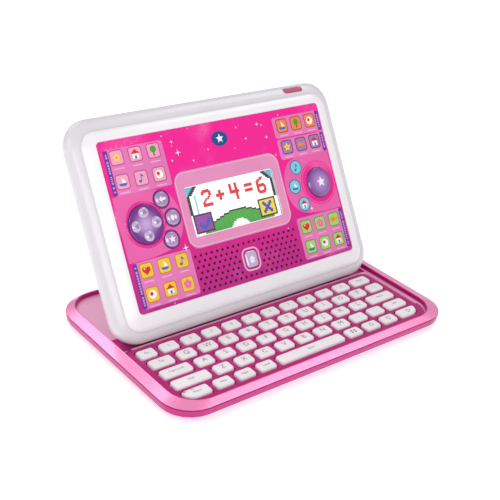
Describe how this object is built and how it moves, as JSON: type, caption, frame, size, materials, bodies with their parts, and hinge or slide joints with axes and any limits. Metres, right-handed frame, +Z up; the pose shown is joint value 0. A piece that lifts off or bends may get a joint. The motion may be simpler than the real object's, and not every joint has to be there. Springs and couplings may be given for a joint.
{
  "type": "toy laptop computer",
  "caption": "Child's toy laptop: a touch-style tablet with push buttons and a small display leans in the trough of a full keyboard base.",
  "frame": {"origin": "on the table plane, under the middle of the whole object", "axes": "+X to the right of the person typing, +Y away from that person, +Z up"},
  "size_m": [0.279, 0.1906, 0.162],
  "materials": {
    "top_shell_pink": "metallic pink moulded plastic",
    "lower_shell_pink": "darker metallic pink moulded plastic",
    "key_rubber": "white silicone rubber",
    "key_white": "glossy white with printed letters",
    "board_green": "green circuit board",
    "connector_black": "black connector body",
    "foot_rubber": "grey rubber",
    "tablet_pearl": "pearl white moulded plastic",
    "overlay_print": "magenta printed overlay",
    "window_clear": "clear plastic window with a pink printed surround",
    "lcd_grey": "grey display module",
    "button_silver": "silver purple plastic",
    "button_purple": "glossy purple plastic",
    "soft_grey": "grey silicone rubber",
    "speaker_metal": "pressed steel",
    "cell_jacket": "battery jacket"
  },
  "bodies": {
    "keyboard_base": {"base_top_housing": "top_shell_pink", "base_bottom_cover": "lower_shell_pink", "rubber_key_mat": "key_rubber", "keyboard_circuit_board": "board_green", "dock_connector": "connector_black", "foot_front_left": "foot_rubber", "foot_front_right": "foot_rubber", "foot_rear_left": "foot_rubber", "foot_rear_right": "foot_rubber"},
    "support_flap": {"tablet_support_flap": "top_shell_pink"},
    "tablet": {"tablet_rear_shell": "tablet_pearl", "tablet_front_frame": "tablet_pearl", "face_overlay": "overlay_print", "screen_window": "window_clear", "lcd_module": "lcd_grey", "main_circuit_board": "board_green", "button_mat": "soft_grey", "speaker": "speaker_metal", "battery_cell_1": "cell_jacket", "battery_cell_2": "cell_jacket", "battery_cell_3": "cell_jacket", "battery_cell_4": "cell_jacket"},
    "key_a": {"key_a": "key_white"},
    "key_b": {"key_b": "key_white"},
    "key_c": {"key_c": "key_white"},
    "key_d": {"key_d": "key_white"},
    "key_e": {"key_e": "key_white"},
    "key_f": {"key_f": "key_white"},
    "key_g": {"key_g": "key_white"},
    "key_h": {"key_h": "key_white"},
    "key_i": {"key_i": "key_white"},
    "key_j": {"key_j": "key_white"},
    "key_k": {"key_k": "key_white"},
    "key_l": {"key_l": "key_white"},
    "key_m": {"key_m": "key_white"},
    "key_n": {"key_n": "key_white"},
    "key_o": {"key_o": "key_white"},
    "key_p": {"key_p": "key_white"},
    "key_q": {"key_q": "key_white"},
    "key_r": {"key_r": "key_white"},
    "key_s": {"key_s": "key_white"},
    "key_t": {"key_t": "key_white"},
    "key_u": {"key_u": "key_white"},
    "key_v": {"key_v": "key_white"},
    "key_w": {"key_w": "key_white"},
    "key_x": {"key_x": "key_white"},
    "key_y": {"key_y": "key_white"},
    "key_z": {"key_z": "key_white"},
    "key_space": {"key_space": "key_white"},
    "key_enter": {"key_enter": "key_white"},
    "key_shift_left": {"key_shift_left": "key_white"},
    "key_shift_right": {"key_shift_right": "key_white"},
    "upper_round_button": {"upper_round_button": "button_silver"},
    "middle_round_button": {"middle_round_button": "button_silver"},
    "lower_round_button": {"lower_round_button": "button_silver"},
    "enter_button": {"enter_button": "button_purple"},
    "home_button": {"home_button": "button_silver"},
    "direction_pad": {"direction_pad": "button_purple"},
    "power_button": {"power_button": "top_shell_pink"},
    "battery_door": {"battery_door": "tablet_pearl"}
  },
  "joints": [
    {"name": "flap_fold", "type": "hinge", "parent": "keyboard_base", "child": "support_flap", "pos_m": [0, 0.03948, 0.0087], "axis": [1, 0, 0], "range_deg": [0, 39.2]},
    {"name": "tablet_lift_off", "type": "slide", "parent": "keyboard_base", "child": "tablet", "axis": [0, 0.518, 0.8554], "range_m": [0, 0.05]},
    {"name": "upper_round_button_press", "type": "slide", "parent": "tablet", "child": "upper_round_button", "axis": [0, 0.8554, -0.518], "range_m": [0, 0.0008], "stiffness_N_per_m": 400, "springref_m": -0.0005},
    {"name": "middle_round_button_press", "type": "slide", "parent": "tablet", "child": "middle_round_button", "axis": [0, 0.8554, -0.518], "range_m": [0, 0.0008], "stiffness_N_per_m": 400, "springref_m": -0.0005},
    {"name": "lower_round_button_press", "type": "slide", "parent": "tablet", "child": "lower_round_button", "axis": [0, 0.8554, -0.518], "range_m": [0, 0.0008], "stiffness_N_per_m": 400, "springref_m": -0.0005},
    {"name": "enter_button_press", "type": "slide", "parent": "tablet", "child": "enter_button", "axis": [0, 0.8554, -0.518], "range_m": [0, 0.0009], "stiffness_N_per_m": 400, "springref_m": -0.0005},
    {"name": "home_button_press", "type": "slide", "parent": "tablet", "child": "home_button", "axis": [0, 0.8554, -0.518], "range_m": [0, 0.0008], "stiffness_N_per_m": 400, "springref_m": -0.0005},
    {"name": "direction_pad_rock", "type": "hinge", "parent": "tablet", "child": "direction_pad", "pos_m": [-0.087, 0.03709, 0.08951], "axis": [1, 0, 0], "range_deg": [-3, 3], "stiffness_Nm_per_rad": 1},
    {"name": "power_button_press", "type": "slide", "parent": "tablet", "child": "power_button", "axis": [0, 0.1874, -0.9823], "range_m": [0, 0.0008], "stiffness_N_per_m": 400, "springref_m": -0.0005},
    {"name": "battery_door_off", "type": "slide", "parent": "tablet", "child": "battery_door", "axis": [0, 0.8554, -0.518], "range_m": [0, 0.02]},
    {"name": "key_a_press", "type": "slide", "parent": "keyboard_base", "child": "key_a", "axis": [0, 0, -1], "range_m": [0, 0.0012], "stiffness_N_per_m": 300, "springref_m": -0.0005},
    {"name": "key_b_press", "type": "slide", "parent": "keyboard_base", "child": "key_b", "axis": [0, 0, -1], "range_m": [0, 0.0012], "stiffness_N_per_m": 300, "springref_m": -0.0005},
    {"name": "key_c_press", "type": "slide", "parent": "keyboard_base", "child": "key_c", "axis": [0, 0, -1], "range_m": [0, 0.0012], "stiffness_N_per_m": 300, "springref_m": -0.0005},
    {"name": "key_d_press", "type": "slide", "parent": "keyboard_base", "child": "key_d", "axis": [0, 0, -1], "range_m": [0, 0.0012], "stiffness_N_per_m": 300, "springref_m": -0.0005},
    {"name": "key_e_press", "type": "slide", "parent": "keyboard_base", "child": "key_e", "axis": [0, 0, -1], "range_m": [0, 0.0012], "stiffness_N_per_m": 300, "springref_m": -0.0005},
    {"name": "key_f_press", "type": "slide", "parent": "keyboard_base", "child": "key_f", "axis": [0, 0, -1], "range_m": [0, 0.0012], "stiffness_N_per_m": 300, "springref_m": -0.0005},
    {"name": "key_g_press", "type": "slide", "parent": "keyboard_base", "child": "key_g", "axis": [0, 0, -1], "range_m": [0, 0.0012], "stiffness_N_per_m": 300, "springref_m": -0.0005},
    {"name": "key_h_press", "type": "slide", "parent": "keyboard_base", "child": "key_h", "axis": [0, 0, -1], "range_m": [0, 0.0012], "stiffness_N_per_m": 300, "springref_m": -0.0005},
    {"name": "key_i_press", "type": "slide", "parent": "keyboard_base", "child": "key_i", "axis": [0, 0, -1], "range_m": [0, 0.0012], "stiffness_N_per_m": 300, "springref_m": -0.0005},
    {"name": "key_j_press", "type": "slide", "parent": "keyboard_base", "child": "key_j", "axis": [0, 0, -1], "range_m": [0, 0.0012], "stiffness_N_per_m": 300, "springref_m": -0.0005},
    {"name": "key_k_press", "type": "slide", "parent": "keyboard_base", "child": "key_k", "axis": [0, 0, -1], "range_m": [0, 0.0012], "stiffness_N_per_m": 300, "springref_m": -0.0005},
    {"name": "key_l_press", "type": "slide", "parent": "keyboard_base", "child": "key_l", "axis": [0, 0, -1], "range_m": [0, 0.0012], "stiffness_N_per_m": 300, "springref_m": -0.0005},
    {"name": "key_m_press", "type": "slide", "parent": "keyboard_base", "child": "key_m", "axis": [0, 0, -1], "range_m": [0, 0.0012], "stiffness_N_per_m": 300, "springref_m": -0.0005},
    {"name": "key_n_press", "type": "slide", "parent": "keyboard_base", "child": "key_n", "axis": [0, 0, -1], "range_m": [0, 0.0012], "stiffness_N_per_m": 300, "springref_m": -0.0005},
    {"name": "key_o_press", "type": "slide", "parent": "keyboard_base", "child": "key_o", "axis": [0, 0, -1], "range_m": [0, 0.0012], "stiffness_N_per_m": 300, "springref_m": -0.0005},
    {"name": "key_p_press", "type": "slide", "parent": "keyboard_base", "child": "key_p", "axis": [0, 0, -1], "range_m": [0, 0.0012], "stiffness_N_per_m": 300, "springref_m": -0.0005},
    {"name": "key_q_press", "type": "slide", "parent": "keyboard_base", "child": "key_q", "axis": [0, 0, -1], "range_m": [0, 0.0012], "stiffness_N_per_m": 300, "springref_m": -0.0005},
    {"name": "key_r_press", "type": "slide", "parent": "keyboard_base", "child": "key_r", "axis": [0, 0, -1], "range_m": [0, 0.0012], "stiffness_N_per_m": 300, "springref_m": -0.0005},
    {"name": "key_s_press", "type": "slide", "parent": "keyboard_base", "child": "key_s", "axis": [0, 0, -1], "range_m": [0, 0.0012], "stiffness_N_per_m": 300, "springref_m": -0.0005},
    {"name": "key_t_press", "type": "slide", "parent": "keyboard_base", "child": "key_t", "axis": [0, 0, -1], "range_m": [0, 0.0012], "stiffness_N_per_m": 300, "springref_m": -0.0005},
    {"name": "key_u_press", "type": "slide", "parent": "keyboard_base", "child": "key_u", "axis": [0, 0, -1], "range_m": [0, 0.0012], "stiffness_N_per_m": 300, "springref_m": -0.0005},
    {"name": "key_v_press", "type": "slide", "parent": "keyboard_base", "child": "key_v", "axis": [0, 0, -1], "range_m": [0, 0.0012], "stiffness_N_per_m": 300, "springref_m": -0.0005},
    {"name": "key_w_press", "type": "slide", "parent": "keyboard_base", "child": "key_w", "axis": [0, 0, -1], "range_m": [0, 0.0012], "stiffness_N_per_m": 300, "springref_m": -0.0005},
    {"name": "key_x_press", "type": "slide", "parent": "keyboard_base", "child": "key_x", "axis": [0, 0, -1], "range_m": [0, 0.0012], "stiffness_N_per_m": 300, "springref_m": -0.0005},
    {"name": "key_y_press", "type": "slide", "parent": "keyboard_base", "child": "key_y", "axis": [0, 0, -1], "range_m": [0, 0.0012], "stiffness_N_per_m": 300, "springref_m": -0.0005},
    {"name": "key_z_press", "type": "slide", "parent": "keyboard_base", "child": "key_z", "axis": [0, 0, -1], "range_m": [0, 0.0012], "stiffness_N_per_m": 300, "springref_m": -0.0005},
    {"name": "key_space_press", "type": "slide", "parent": "keyboard_base", "child": "key_space", "axis": [0, 0, -1], "range_m": [0, 0.0012], "stiffness_N_per_m": 300, "springref_m": -0.0005},
    {"name": "key_enter_press", "type": "slide", "parent": "keyboard_base", "child": "key_enter", "axis": [0, 0, -1], "range_m": [0, 0.0012], "stiffness_N_per_m": 300, "springref_m": -0.0005},
    {"name": "key_shift_left_press", "type": "slide", "parent": "keyboard_base", "child": "key_shift_left", "axis": [0, 0, -1], "range_m": [0, 0.0012], "stiffness_N_per_m": 300, "springref_m": -0.0005},
    {"name": "key_shift_right_press", "type": "slide", "parent": "keyboard_base", "child": "key_shift_right", "axis": [0, 0, -1], "range_m": [0, 0.0012], "stiffness_N_per_m": 300, "springref_m": -0.0005}
  ]
}
